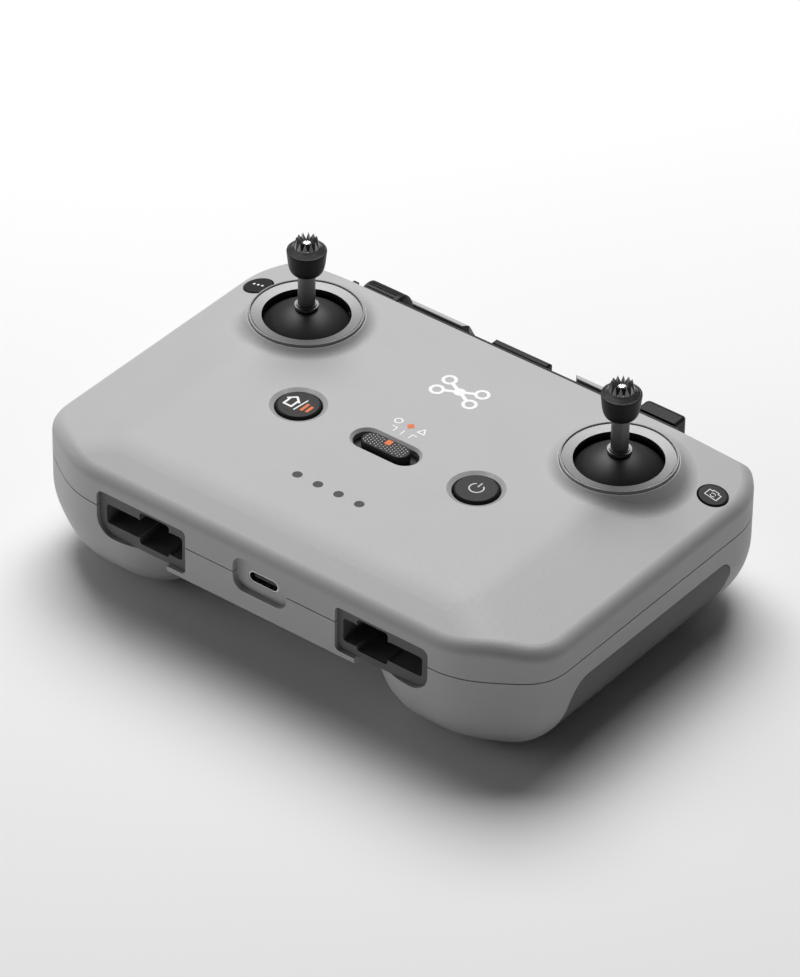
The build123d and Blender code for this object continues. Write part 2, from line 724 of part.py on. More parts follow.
with BuildPart() as stick_crown:
    with BuildSketch(STICK_PLANE):
        with BuildLine():
            Polyline(
                (0, CROWN_CORE_TOP + 0.1),
                (0, CROWN_BASE),
                (CROWN_RADIUS, CROWN_BASE),
                (CROWN_RADIUS, KNOB_RIM - 0.15),
                (2.9, KNOB_RIM + 0.9),
                (CROWN_CORE + 0.15, CROWN_CORE_TOP - 0.45),
                (CROWN_CORE + 0.15, CROWN_CORE_TOP - 0.2),
            )
            TangentArc(
                (0, CROWN_CORE_TOP + 0.1),
                (CROWN_CORE + 0.15, CROWN_CORE_TOP - 0.2),
                tangent=(1, 0),
            )
        make_face()
    revolve(axis=STICK_AXIS)
    add(crown_teeth.part)
save_pair(stick_crown, "stick_crown")

# ---------------------------------------------------------------- buttons and switch
CAP_FLANGE = TOP - WALL - 0.2
for name, side in (("home_button", -1), ("power_button", 1)):
    with BuildPart() as cap:
        with BuildSketch(Plane.XY.offset(CAP_FLANGE - 1.0)) as flange:
            with Locations((side * BUTTON_X, BUTTON_Y)):
                Circle(BUTTON_RADIUS + 1.3)
        extrude(flange.sketch, amount=0.8)
        with BuildSketch(Plane.XY.offset(CAP_FLANGE - 1.0)) as disc:
            with Locations((side * BUTTON_X, BUTTON_Y)):
                Circle(BUTTON_RADIUS)
        extrude(disc.sketch, amount=BUTTON_TOP - CAP_FLANGE + 1.0)
        fillet(cap.edges().filter_by_position(Axis.Z, BUTTON_TOP - 0.01, BUTTON_TOP + 0.01), 0.45)
        with Locations((side * BUTTON_X, BUTTON_Y, CAP_FLANGE - 1.4)):
            Cylinder(1.4, 0.8)
    save(cap, name)

for name, side in (("custom_button", -1), ("camera_button", 1)):
    with BuildPart() as cap:
        round_bar(wing_plane(side, 0.25), WING_BUTTON_RADIUS, 2.9)
        fillet(cap.edges().group_by(Axis.Z)[-1], 0.3)
        round_bar(wing_plane(side, -2.5), WING_BUTTON_RADIUS - 2.2, 1.3)
    save(cap, name)

with BuildPart() as mode_switch:
    with BuildSketch(Plane.XY.offset(SWITCH_TOP - SWITCH_THICK)) as pill:
        with Locations((0, SWITCH_Y)):
            SlotOverall(*SWITCH_PILL)
    extrude(pill.sketch, amount=SWITCH_THICK)
    fillet(mode_switch.edges().group_by(Axis.Z)[-1], 0.4)
    box_between((-2.0, SWITCH_Y - 0.9, 34.2), (2.0, SWITCH_Y + 0.9, SWITCH_TOP - 1.0))
save(mode_switch, "mode_switch")

with BuildPart() as mode_switch_base:
    under = TOP - WALL - FIT
    box_between((-11.5, SWITCH_Y - 5.0, under - 0.9), (11.5, SWITCH_Y + 5.0, under))
    box_between((-5.6, SWITCH_Y - 1.3, under - 2), (5.6, SWITCH_Y + 1.3, under + 1), Mode.SUBTRACT)
save(mode_switch_base, "mode_switch_base")

LED_PLACES = [((i - (LED_COUNT - 1) / 2) * LED_PITCH, LED_Y) for i in range(LED_COUNT)]
BOARD_TOP = BUTTON_BOARD_Z + BOARD_THICK
with BuildPart() as led_light_pipes:
    with BuildSketch(Plane.XY.offset(BOARD_TOP + 0.9)):
        with Locations(*LED_PLACES):
            Circle(LED_RADIUS)
    extrude(amount=TOP - 0.05 - BOARD_TOP - 0.9)
save(led_light_pipes, "led_light_pipes")

with BuildPart() as status_leds:
    with BuildSketch(Plane.XY.offset(BOARD_TOP)):
        with Locations(*LED_PLACES):
            Rectangle(1.6, 0.9)
    extrude(amount=0.7)
save(status_leds, "status_leds")

# ---------------------------------------------------------------- boards and electrics
with BuildPart() as button_board:
    box_between((-34, -31, BUTTON_BOARD_Z), (34, 6, BOARD_TOP))
    post_x, post_y, _ = SCREW_PLACES[2]
    with Locations((-post_x, post_y, BUTTON_BOARD_Z), (post_x, post_y, BUTTON_BOARD_Z)):
        Cylinder(POST_RADIUS + CLEAR, 6, mode=Mode.SUBTRACT)
save(button_board, "button_board")

with BuildPart() as tact_switches:
    for side in SIDES.values():
        with Locations((side * BUTTON_X, BUTTON_Y, BOARD_TOP + 0.4)):
            Box(4.4, 4.4, 0.8)
        with Locations((side * BUTTON_X, BUTTON_Y, BOARD_TOP + 1.0)):
            Cylinder(1.0, 0.4)
save(tact_switches, "tact_switches")

with BuildPart() as slide_switch:
    box_between((-5.0, SWITCH_Y - 1.8, BOARD_TOP), (5.0, SWITCH_Y + 1.8, BOARD_TOP + 1.2))
save(slide_switch, "slide_switch")

with BuildPart() as wing_switch_boards:
    for side in SIDES.values():
        with BuildSketch(wing_plane(side, -6.6)) as board:
            Rectangle(6.4, 8.0)
        extrude(board.sketch, amount=0.9)
        with BuildSketch(wing_plane(side, -5.7)) as switch:
            Rectangle(3.4, 3.4)
        extrude(switch.sketch, amount=0.9)
save(wing_switch_boards, "wing_switch_boards")

MAIN_TOP = MAIN_BOARD_Z + BOARD_THICK
with BuildPart() as main_board:
    box_between((-20, NEAR + WALL + 1.6, MAIN_BOARD_Z), (20, -17.0, MAIN_TOP))
save(main_board, "main_board")

with BuildPart() as shield_can:
    box_between((-14, -38, MAIN_TOP), (14, -19, MAIN_TOP + 2.4))
    box_between((-13.7, -37.7, MAIN_TOP), (13.7, -19.3, MAIN_TOP + 2.1), Mode.SUBTRACT)
    fillet(shield_can.edges().filter_by(Axis.Z).filter_by_position(Axis.X, -14.1, -13.9), 0.3)
save(shield_can, "shield_can")

with BuildPart() as processor_chips:
    for x, y in ((-6.5, -28.5), (6.0, -28.5)):
        box_between((x - 4, y - 4, MAIN_TOP), (x + 4, y + 4, MAIN_TOP + 1.1))
save(processor_chips, "processor_chips")

PORT_DEPTH = 7.3
with BuildPart() as usb_socket_shell:
    with BuildSketch(near_plane(PORT_POCKET_DEPTH + 0.1)) as mouth:
        with Locations((0, PORT_Z)):
            SlotOverall(*PORT_SIZE)
            SlotOverall(PORT_SIZE[0] - 0.6, PORT_SIZE[1] - 0.6, mode=Mode.SUBTRACT)
    extrude(mouth.sketch, amount=-PORT_DEPTH)
    with BuildSketch(near_plane(PORT_POCKET_DEPTH + PORT_DEPTH - 0.4)) as back:
        with Locations((0, PORT_Z)):
            SlotOverall(*PORT_SIZE)
    extrude(back.sketch, amount=-0.5)
save(usb_socket_shell, "usb_socket_shell")

with BuildPart() as usb_socket_tongue:
    tongue_near = NEAR + PORT_POCKET_DEPTH + 0.8
    tongue_far = NEAR + PORT_POCKET_DEPTH + PORT_DEPTH - 0.4
    box_between((-3.2, tongue_near, PORT_Z - 0.35), (3.2, tongue_far, PORT_Z + 0.35))
save(usb_socket_tongue, "usb_socket_tongue")

with BuildPart() as usb_bezel:
    with BuildSketch(near_plane(PORT_POCKET_DEPTH)) as plate:
        with Locations((0, PORT_POCKET_Z)):
            RectangleRounded(PORT_POCKET[0] - FIT, PORT_POCKET[1] - FIT, PORT_POCKET[1] / 3 - FIT / 2)
        with Locations((0, PORT_Z)):
            SlotOverall(PORT_SIZE[0] + FIT, PORT_SIZE[1] + FIT, mode=Mode.SUBTRACT)
    extrude(plate.sketch, amount=-1.6)
save(usb_bezel, "usb_bezel")

# ---------------------------------------------------------------- stick stores in the near wall
with BuildPart() as stick_store:
    with BuildSketch(near_plane(STORE_RECESS)) as block:
        add(store_outline(FIT / 2))
    extrude(block.sketch, amount=-STORE_DEPTH)
    with BuildSketch(near_plane(STORE_RECESS)) as spaces:
        for low, high in STORE_SPACES:
            with Locations(((low[0] + high[0]) / 2, (low[1] + high[1]) / 2)):
                RectangleRounded(high[0] - low[0], high[1] - low[1], 0.9)
    extrude(spaces.sketch, amount=-STORE_DEPTH + 1, mode=Mode.SUBTRACT)
save_pair(stick_store, "stick_store")

# ---------------------------------------------------------------- pull-out phone holder
with BuildPart() as holder_track:
    track_far = RECESS_WALL - WALL - FIT
    box_between((-24.4, TRACK_NEAR, RAIL_FLOOR), (24.4, track_far, 31.0))
    box_between((-22.4, TRACK_NEAR - 1, RAIL_FLOOR + 0.9), (22.4, track_far + 1, 30.3), Mode.SUBTRACT)
    box_between((-20.9, TRACK_NEAR - 1, RAIL_FLOOR + 2), (20.9, track_far + 1, 32), Mode.SUBTRACT)
save(holder_track, "holder_track")

MID_FLOOR = RAIL_FLOOR + 1.2
with BuildPart() as holder_mid_stage:
    mid_far = RECESS_WALL - 0.7
    box_between((-22.0, TRACK_NEAR + 2, MID_FLOOR), (22.0, mid_far, MID_FLOOR + 0.7))
    for side in SIDES.values():
        wall_x = sorted((side * 20.7, side * 22.0))
        box_between((wall_x[0], TRACK_NEAR + 2, MID_FLOOR), (wall_x[1], mid_far, 29.9))
save(holder_mid_stage, "holder_mid_stage")

BAR_NEAR = 48.3
with BuildPart() as holder_slide:
    box_between((-20.3, TRACK_NEAR + 6, MID_FLOOR + 1.1), (20.3, RECESS_WALL - 1.0, MID_FLOOR + 2.6))
    box_between((-14.0, RECESS_WALL - 2.0, MID_FLOOR + 1.1), (14.0, BAR_NEAR, MID_FLOOR + 2.6))
save(holder_slide, "holder_slide")

with BuildPart() as holder_bridge:
    box_between((-CLAMP_INNER, BAR_NEAR, 17.0), (CLAMP_INNER, CLAMP_FAR - 0.3, MID_FLOOR + 4.0))
    fillet(holder_bridge.edges().filter_by(Axis.X), 0.8)
save(holder_bridge, "holder_bridge")

with BuildPart() as holder_centre_stop:
    box_between((-8.4, CLAMP_NEAR - 0.2, MID_FLOOR + 4.0), (8.4, CLAMP_NEAR + 2.0, CLAMP_TOP - 0.7))
    fillet(holder_centre_stop.edges().group_by(Axis.Z)[-1], 0.7)
save(holder_centre_stop, "holder_centre_stop")

with BuildPart() as clamp:
    with BuildSketch(Plane.YZ.offset(CLAMP_INNER)) as clamp_section:
        with BuildLine():
            FilletPolyline(
                (CLAMP_NEAR, CLAMP_LOW),
                (CLAMP_NEAR, CLAMP_TOP),
                (CLAMP_NEAR + CLAMP_TOP_DEPTH, CLAMP_TOP),
                (CLAMP_FAR, CLAMP_TOP - 6.5),
                (CLAMP_FAR, CLAMP_LOW),
                radius=(1.2, 0.3, 0.9, 4.0, 1.8),
                close=True,
            )
        make_face()
    extrude(clamp_section.sketch, amount=CLAMP_OUTER - CLAMP_INNER)
    with BuildSketch(Plane.XY.offset(CLAMP_LOW)) as clamp_plan:
        Polygon(
            (CLAMP_INNER + CLAMP_CORNER, CLAMP_NEAR),
            (CLAMP_OUTER - CLAMP_CORNER, CLAMP_NEAR),
            (CLAMP_OUTER, CLAMP_NEAR + CLAMP_CORNER),
            (CLAMP_OUTER, CLAMP_FAR),
            (CLAMP_INNER, CLAMP_FAR),
            (CLAMP_INNER, CLAMP_NEAR + CLAMP_CORNER),
            align=None,
        )
    extrude(clamp_plan.sketch, amount=CLAMP_TOP, mode=Mode.INTERSECT)
    pocket_low = (CLAMP_INNER + 1.6, 0, CLAMP_LOW + 2)
    box_between(pocket_low, (CLAMP_OUTER - 1.6, CLAMP_NEAR + 2.2, 34.6), Mode.SUBTRACT)
save_pair(clamp, "phone_clamp")

with BuildPart() as clamp_pad:
    box_between(
        (CLAMP_INNER + 1.7, CLAMP_NEAR - 0.5, CLAMP_LOW + 2.1), (CLAMP_OUTER - 1.7, CLAMP_NEAR + 1.2, 34.5)
    )
    chamfer(clamp_pad.edges().group_by(Axis.Y)[0], 0.35)
save_pair(clamp_pad, "clamp_pad")

with BuildPart() as antenna_boards:
    for side in SIDES.values():
        span = sorted((side * (CLAMP_INNER + 2), side * (CLAMP_OUTER - 2)))
        box_between((span[0], CLAMP_NEAR + 1.3, CLAMP_LOW + 2.4), (span[1], CLAMP_NEAR + 2.1, 34.2))
save(antenna_boards, "antenna_boards")

# ---------------------------------------------------------------- dial and shutter button
DIAL_X = -(DIAL_LOW + DIAL_HIGH) / 2
DIAL_LENGTH = DIAL_HIGH - DIAL_LOW
with BuildPart() as gimbal_dial:
    with Locations(Location((DIAL_X, DIAL_Y, DIAL_Z), (0, 90, 0))):
        Cylinder(DIAL_RADIUS, DIAL_LENGTH)
    chamfer(gimbal_dial.edges().group_by(Axis.X)[0], 0.9, 1.3)
    fillet(gimbal_dial.edges().group_by(Axis.X)[-1], 0.9)
    with Locations(Location((DIAL_X, DIAL_Y, DIAL_Z), (0, 90, 0))):
        Cylinder(AXLE_RADIUS, DIAL_LENGTH + 2, mode=Mode.SUBTRACT)
    for index in range(DIAL_RIBS):
        turn = radians(index * 360 / DIAL_RIBS)
        groove_at = (DIAL_X, DIAL_Y + DIAL_RADIUS * cos(turn), DIAL_Z + DIAL_RADIUS * sin(turn))
        with Locations(Location(groove_at, (0, 90, 0))):
            Cylinder(0.22, DIAL_LENGTH - 3.2, mode=Mode.SUBTRACT)
save(gimbal_dial, "gimbal_dial")

with BuildPart() as dial_axle:
    with Locations(Location((DIAL_X, DIAL_Y, DIAL_Z), (0, 90, 0))):
        Cylinder(AXLE_RADIUS - 0.03, DIAL_LENGTH + 2.6)
save(dial_axle, "dial_axle")

with BuildPart() as shutter_button:
    box_between((DIAL_LOW, SHUTTER_NEAR, 28.0), (DIAL_HIGH, SHUTTER_FAR, 38.0))
    fillet(shutter_button.edges().group_by(Axis.Y)[-1], 2.2)
    fillet(shutter_button.edges().filter_by(Axis.Y), 0.9)
    with Locations(Location((-DIAL_X, SHUTTER_NEAR - 2, DIAL_Z), (90, 0, 0))):
        Cylinder(1.5, 8.0)
save(shutter_button, "shutter_button")

with BuildPart() as shutter_switch:
    box_between((-DIAL_X - 2.5, 37.3, 31.4), (-DIAL_X + 2.5, 39.1, 34.8))
save(shutter_switch, "shutter_switch")

# ---------------------------------------------------------------- power and fasteners
with BuildPart() as battery_cell:
    with Locations(Location((CELL_X, CELL_Y, CELL_Z), (90, 0, 0))):
        Cylinder(CELL_RADIUS, CELL_LENGTH)
    fillet(battery_cell.edges().filter_by(GeomType.CIRCLE), 0.6)
save_pair(battery_cell, "battery_cell")

CELL_END = CELL_Y - CELL_LENGTH / 2
with BuildPart() as battery_contacts:
    for side in SIDES.values():
        for end_y in (CELL_END - 0.5, CELL_END + CELL_LENGTH + 0.1):
            with Locations((side * CELL_X, end_y + 0.2, CELL_Z)):
                Box(8, 0.4, 10)
save(battery_contacts, "battery_contacts")

with BuildPart() as case_screws:
    for side in SIDES.values():
        for x, y, seat in SCREW_PLACES:
            with Locations((side * x, y, seat)):
                Cylinder(SCREW_HEAD, 1.3, align=(Align.CENTER, Align.CENTER, Align.MAX))
                Cylinder(SCREW_RADIUS, SCREW_TIP - seat, align=(Align.CENTER, Align.CENTER, Align.MIN))
save(case_screws, "case_screws")
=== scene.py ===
import json
import math

import bmesh
import bpy
from mathutils import Matrix, Vector

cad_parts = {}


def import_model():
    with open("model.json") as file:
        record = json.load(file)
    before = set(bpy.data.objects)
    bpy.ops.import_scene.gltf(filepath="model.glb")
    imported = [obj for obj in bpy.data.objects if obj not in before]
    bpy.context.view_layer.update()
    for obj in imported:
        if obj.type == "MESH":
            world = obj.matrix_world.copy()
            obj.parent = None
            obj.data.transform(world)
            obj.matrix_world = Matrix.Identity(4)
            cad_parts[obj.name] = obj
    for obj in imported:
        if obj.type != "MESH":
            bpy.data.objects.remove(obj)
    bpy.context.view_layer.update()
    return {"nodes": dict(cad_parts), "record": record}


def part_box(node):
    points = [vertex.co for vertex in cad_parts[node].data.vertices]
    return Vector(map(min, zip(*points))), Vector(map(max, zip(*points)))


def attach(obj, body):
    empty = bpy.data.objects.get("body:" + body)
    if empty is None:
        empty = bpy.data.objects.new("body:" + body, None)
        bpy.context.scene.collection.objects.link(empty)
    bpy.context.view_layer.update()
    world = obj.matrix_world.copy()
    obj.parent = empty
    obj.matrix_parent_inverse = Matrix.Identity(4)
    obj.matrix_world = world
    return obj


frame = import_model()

MM = 0.001

SIDES = ("left", "right")
UPWARD = 0.9
SAME_WAY = 0.9999
FACE_DEPTH = 0.01 * MM
PLATE_LOWEST = 38 * MM
MARK_THICK = 0.03 * MM
MARK_STEP = 0.03
LATHE_STEPS = 64
WELD_GAP = 0.001 * MM
SHARP_ANGLE = math.radians(35)

# Camera of a long lens, looking down over the near right corner
CAMERA_AZIMUTH = math.radians(37.611)
CAMERA_ELEVATION = math.radians(36.422)
CAMERA_ROLL = math.radians(0.853)
CAMERA_TARGET = Vector((12.79, -15.95, 38.8)) * MM
CAMERA_DISTANCE = 1462.4 * MM
CAMERA_LENS = 231.56

# Heights between which the rings change from black, painted shade for the shadow inside the ring's mouth,
# to grey
RING_SHADE_EDGE = (40.58 * MM, 40.62 * MM)


# ---------------------------------------------------------------- small helpers
def middle(node):
    """Centre of a CAD node's box."""
    low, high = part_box(node)
    return (low + high) / 2


def top_face(node):
    """Frame on a node's highest upward flat face: its centre, with Z along the face's normal."""
    mesh = frame["nodes"][node].data
    place = frame["nodes"][node].matrix_world
    turn = place.to_3x3()
    faces = [(place @ f.center, (turn @ f.normal).normalized(), f.area) for f in mesh.polygons]
    upward = [face for face in faces if face[1].z > UPWARD]
    normal = max(upward, key=lambda face: face[2])[1]
    parallel = [face for face in upward if face[1].dot(normal) > SAME_WAY]
    level = max(face[0].dot(normal) for face in parallel)
    flat = [face for face in parallel if face[0].dot(normal) > level - FACE_DEPTH]
    total = sum(face[2] for face in flat)
    centre = sum((face[0] * face[2] for face in flat), Vector()) / total
    x_axis = Vector((normal.z, 0, -normal.x)).normalized()
    axes = Matrix((x_axis, normal.cross(x_axis), normal)).transposed().to_4x4()
    return Matrix.Translation(centre) @ axes


def plate_height():
    """Height of the flat of the control face."""
    mesh = frame["nodes"]["top_shell"].data
    level = [f for f in mesh.polygons if f.normal.z > SAME_WAY and f.center.z > PLATE_LOWEST]
    return max((f.area, f.center.z) for f in level)[1]


PLATE_Z = plate_height()


def new_object(name, mesh, body, material):
    """Wraps a mesh as a piece that rides on a body and takes its finish from a slot."""
    piece = bpy.data.objects.new(name, mesh)
    bpy.context.collection.objects.link(piece)
    mesh.materials.append(material)
    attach(piece, body)


def flat_mark(name, polygons, frame_of_mark, body, material, thick=MARK_THICK):
    """Thin printed mark: closed polygons in millimetres, each a touch thicker than the one before."""
    mesh = bpy.data.meshes.new(name)
    shape = bmesh.new()
    for index, points in enumerate(polygons):
        top = thick * (1 + MARK_STEP * index)
        low = [shape.verts.new(frame_of_mark @ Vector((x * MM, y * MM, 0))) for x, y in points]
        high = [shape.verts.new(frame_of_mark @ Vector((x * MM, y * MM, top))) for x, y in points]
        shape.faces.new(low[::-1])
        shape.faces.new(high)
        count = len(points)
        for i in range(count):
            j = (i + 1) % count
            shape.faces.new((low[i], low[j], high[j], high[i]))
    bmesh.ops.recalc_face_normals(shape, faces=shape.faces)
    shape.to_mesh(mesh)
    shape.free()
    new_object(name, mesh, body, material)


def bar(x0, y0, x1, y1, width):
    """Straight stroke between two points, as a polygon."""
    run = Vector((x1 - x0, y1 - y0))
    side = Vector((-run.y, run.x)).normalized() * width / 2
    return [
        (x0 - side.x, y0 - side.y),
        (x1 - side.x, y1 - side.y),
        (x1 + side.x, y1 + side.y),
        (x0 + side.x, y0 + side.y),
    ]


def arc_band(x, y, radius, width, start, end, steps=28):
    """Stroke along a circle's arc, as one closed polygon."""
    outer, inner = radius + width / 2, radius - width / 2
    turns = [math.radians(start + (end - start) * i / steps) for i in range(steps + 1)]
    points = [(x + outer * math.cos(t), y + outer * math.sin(t)) for t in turns]
    points += [(x + inner * math.cos(t), y + inner * math.sin(t)) for t in reversed(turns)]
    return points


def ring_pair(x, y, radius, width, steps):
    """Whole ring, as two half bands."""
    return [arc_band(x, y, radius, width, start, start + 180, steps) for start in (0, 180)]


def disc(x, y, radius, steps=24):
    """Filled circle as a polygon."""
    turns = [2 * math.pi * i / steps for i in range(steps)]
    return [(x + radius * math.cos(turn), y + radius * math.sin(turn)) for turn in turns]


def lathe(name, profile, centre, body, material):
    """Turned piece: (radius, height) points in millimetres, spun about an upright axis."""
    mesh = bpy.data.meshes.new(name)
    shape = bmesh.new()
    rings = []
    for radius, height in profile:
        if radius == 0:
            rings.append([shape.verts.new((centre.x, centre.y, height * MM))])
            continue
        ring = []
        for i in range(LATHE_STEPS):
            turn = 2 * math.pi * i / LATHE_STEPS
            x = centre.x + radius * MM * math.cos(turn)
            y = centre.y + radius * MM * math.sin(turn)
            ring.append(shape.verts.new((x, y, height * MM)))
        rings.append(ring)
    for first, second in zip(rings, rings[1:]):
        for i in range(LATHE_STEPS):
            j = (i + 1) % LATHE_STEPS
            if len(first) == 1:
                shape.faces.new((first[0], second[i], second[j]))
            elif len(second) == 1:
                shape.faces.new((first[i], first[j], second[0]))
            else:
                shape.faces.new((first[i], first[j], second[j], second[i]))
    bmesh.ops.remove_doubles(shape, verts=shape.verts, dist=WELD_GAP)
    bmesh.ops.recalc_face_normals(shape, faces=shape.faces)
    shape.to_mesh(mesh)
    shape.free()
    mesh.shade_smooth()
    mesh.set_sharp_from_angle(angle=SHARP_ANGLE)
    new_object(name, mesh, body, material)


# ---------------------------------------------------------------- materials
class Look:
    """One procedural material: a principled shader with its colour, roughness and bump from nodes."""

    def __init__(self, name, roughness, metallic=0.0, specular=0.5):
        self.material = bpy.data.materials.new(name)
        self.material.use_nodes = True
        self.nodes = self.material.node_tree.nodes
        self.links = self.material.node_tree.links
        self.shader = self.nodes["Principled BSDF"]
        self.shader.inputs["Roughness"].default_value = roughness
        self.shader.inputs["Metallic"].default_value = metallic
        self.shader.inputs["Specular IOR Level"].default_value = specular
        self.coordinates = self.nodes.new("ShaderNodeTexCoord").outputs["Object"]
        self.relief = None

    def noise(self, size, detail=2.0, stretch=(1, 1, 1)):
        """Noise whose grains are about size millimetres, stretched along the axes."""
        mapping = self.nodes.new("ShaderNodeMapping")
        mapping.inputs["Scale"].default_value = [1 / axis for axis in stretch]
        self.links.new(self.coordinates, mapping.inputs["Vector"])
        noise = self.nodes.new("ShaderNodeTexNoise")
        noise.inputs["Scale"].default_value = 1 / (size * MM)
        noise.inputs["Detail"].default_value = detail
        self.links.new(mapping.outputs["Vector"], noise.inputs["Vector"])
        return noise.outputs["Fac"]

    def spread(self, value, low, high, first=0.3, last=0.7):
        """Maps a noise to the range from low to high."""
        node = self.nodes.new("ShaderNodeMapRange")
        node.inputs["From Min"].default_value = first
        node.inputs["From Max"].default_value = last
        node.inputs["To Min"].default_value = low
        node.inputs["To Max"].default_value = high
        self.links.new(value, node.inputs["Value"])
        return node.outputs["Result"]

    def colour(self, factor, stops):
        """Base colour from a ramp of (position, (r, g, b)) stops."""
        ramp = self.nodes.new("ShaderNodeValToRGB")
        elements = ramp.color_ramp.elements
        while len(elements) < len(stops):
            elements.new(0.5)
        for element, (position, rgb) in zip(elements, stops):
            element.position = position
            element.color = (*rgb, 1)
        self.links.new(factor, ramp.inputs["Fac"])
        self.links.new(ramp.outputs["Color"], self.shader.inputs["Base Color"])

    def rough(self, factor, low, high):
        """Roughness that varies with a noise."""
        self.links.new(self.spread(factor, low, high), self.shader.inputs["Roughness"])

    def bump(self, factor, depth):
        """Relief whose full height is depth millimetres, on top of any relief already there."""
        node = self.nodes.new("ShaderNodeBump")
        node.inputs["Distance"].default_value = depth * MM
        node.inputs["Strength"].default_value = 1.0
        self.links.new(factor, node.inputs["Height"])
        if self.relief is not None:
            self.links.new(self.relief, node.inputs["Normal"])
        self.relief = node.outputs["Normal"]
        self.links.new(self.relief, self.shader.inputs["Normal"])


def grey(level):
    """Grey with a trace of blue."""
    return (level, level, level * 1.01)


def plastic(name, level, roughness, grain, depth, spread=0.06, specular=0.4):
    """Moulded plastic: fine spark-eroded grain, slight mottling in colour and sheen."""
    look = Look(name, roughness, specular=specular)
    fine = look.noise(grain, detail=3.0)
    broad = look.noise(14.0, detail=4.0)
    look.colour(broad, [(0.3, grey(level * (1 - spread))), (0.7, grey(level * (1 + spread)))])
    look.rough(fine, roughness - 0.05, roughness + 0.07)
    look.bump(fine, depth)
    look.bump(look.noise(grain * 4.5, detail=1.0), depth * 0.6)
    return look.material


def metal(name, level, roughness, stretch, depth=0.004, spread=0.1):
    """Turned or brushed metal: streaks run along the stretched axes."""
    look = Look(name, roughness, metallic=1.0)
    streaks = look.noise(0.25, detail=2.0, stretch=stretch)
    blotch = look.noise(5.0, detail=2.0)
    look.colour(blotch, [(0.3, grey(level * (1 - spread))), (0.7, grey(min(1.0, level * (1 + spread))))])
    look.rough(streaks, roughness - 0.06, roughness + 0.08)
    look.bump(streaks, depth)
    return look.material


def ring_paint_and_shade():
    """Satin metallic paint, with the inside of the ring's mouth coloured black as painted shade for the
    shadow there.
    """
    look = Look("ring_metal", 0.4, metallic=0.3)
    fine = look.noise(0.35, detail=2.0)
    split = look.nodes.new("ShaderNodeSeparateXYZ")
    look.links.new(look.coordinates, split.inputs["Vector"])
    # Below these heights the colour goes black: painted shade inside the ring's mouth
    wall = look.spread(split.outputs["Z"], 0.0, 1.0, *RING_SHADE_EDGE)
    tone = look.spread(fine, 0.92, 1.08)
    product = look.nodes.new("ShaderNodeMath")
    product.operation = "MULTIPLY"
    look.links.new(wall, product.inputs[0])
    look.links.new(tone, product.inputs[1])
    look.colour(product.outputs["Value"], [(0.0, grey(0.004)), (1.0, grey(0.22))])
    look.rough(fine, 0.36, 0.44)
    look.bump(fine, 0.0015)
    return look.material


def tinted(name, first, second, size, roughness, depth, metallic=0.0):
    """Coloured part whose two tones run into each other."""
    look = Look(name, roughness, metallic=metallic)
    tone = look.noise(size, detail=3.0)
    look.colour(tone, [(0.35, first), (0.65, second)])
    look.rough(tone, roughness - 0.05, roughness + 0.05)
    look.bump(look.noise(size / 3), depth)
    return look.material


LOOKS = {
    "shell_plastic": plastic("shell_plastic", 0.42, 0.50, 0.42, 0.02, spread=0.012),
    "soft_grip": plastic("soft_grip", 0.13, 0.62, 0.28, 0.02),
    "dark_plastic": plastic("dark_plastic", 0.015, 0.42, 0.22, 0.006, specular=0.16),
    "ring_metal": ring_paint_and_shade(),
    "dome_plastic": plastic("dome_plastic", 0.015, 0.46, 0.2, 0.006),
    "stick_metal": metal("stick_metal", 0.17, 0.42, (1, 1, 14), depth=0.001, spread=0.03),
    "knob_rubber": plastic("knob_rubber", 0.008, 0.42, 0.18, 0.004, specular=0.25),
    "crown_metal": metal("crown_metal", 0.22, 0.34, (1, 1, 1)),
    "store_rubber": plastic("store_rubber", 0.11, 0.6, 0.3, 0.015),
    "pad_rubber": plastic("pad_rubber", 0.05, 0.7, 0.4, 0.02),
    "lens_plastic": plastic("lens_plastic", 0.036, 0.4, 0.5, 0.001, specular=0.2),
    "port_metal": metal("port_metal", 0.6, 0.25, (10, 1, 1)),
    "gimbal_plastic": plastic("gimbal_plastic", 0.05, 0.5, 0.4, 0.01),
    "slide_metal": metal("slide_metal", 0.45, 0.35, (1, 14, 1)),
    "circuit_board": tinted("circuit_board", (0.01, 0.06, 0.03), (0.015, 0.09, 0.04), 3.0, 0.35, 0.01),
    "component_plastic": plastic("component_plastic", 0.03, 0.5, 0.3, 0.01),
    "cell_wrap": tinted("cell_wrap", (0.03, 0.09, 0.26), (0.04, 0.12, 0.32), 9.0, 0.3, 0.01),
    "contact_brass": tinted("contact_brass", (0.62, 0.45, 0.18), (0.72, 0.55, 0.25), 1.5, 0.3, 0.004, 1.0),
    "fastener_steel": metal("fastener_steel", 0.35, 0.35, (1, 1, 1)),
}
BAND_PLASTIC = plastic("band_plastic", 0.40, 0.22, 0.5, 0.001, spread=0.02, specular=0.9)
WHITE_INK = tinted("white_ink", (0.80, 0.80, 0.80), (0.86, 0.86, 0.86), 1.2, 0.5, 0.003)
PALE_INK = tinted("pale_ink", (0.50, 0.50, 0.50), (0.58, 0.58, 0.58), 1.2, 0.5, 0.003)
ORANGE_INK = tinted("orange_ink", (0.68, 0.125, 0.012), (0.74, 0.145, 0.016), 1.2, 0.6, 0.003)
# Bright metal of the crown caps, also used for the painted highlight bars on the crowns' ridges
BRIGHT_METAL_AND_HIGHLIGHT = metal("bright_metal_and_highlight", 0.75, 0.22, (1, 1, 1))

for part in frame["record"]["subparts"]:
    node = frame["nodes"][part["node"]]
    node.data.materials.clear()
    node.data.materials.append(LOOKS[part["material_slot"]])


# ---------------------------------------------------------------- marks on the control face
HOUSE_STROKE = 0.55
MARK_STROKE = 0.36
TICK_STROKE = 0.3
CAMERA_STROKE = 0.22
ROTOR_X = 4.9
ROTOR_Y = 2.5
ROTOR_RADIUS = 1.55
ROTOR_STROKE = 0.85
FACE_MARK_Y = 23.3


def on_plate(x, y):
    """Frame of a mark printed on the flat of the control face."""
    return Matrix.Translation((x * MM, y * MM, PLATE_Z))


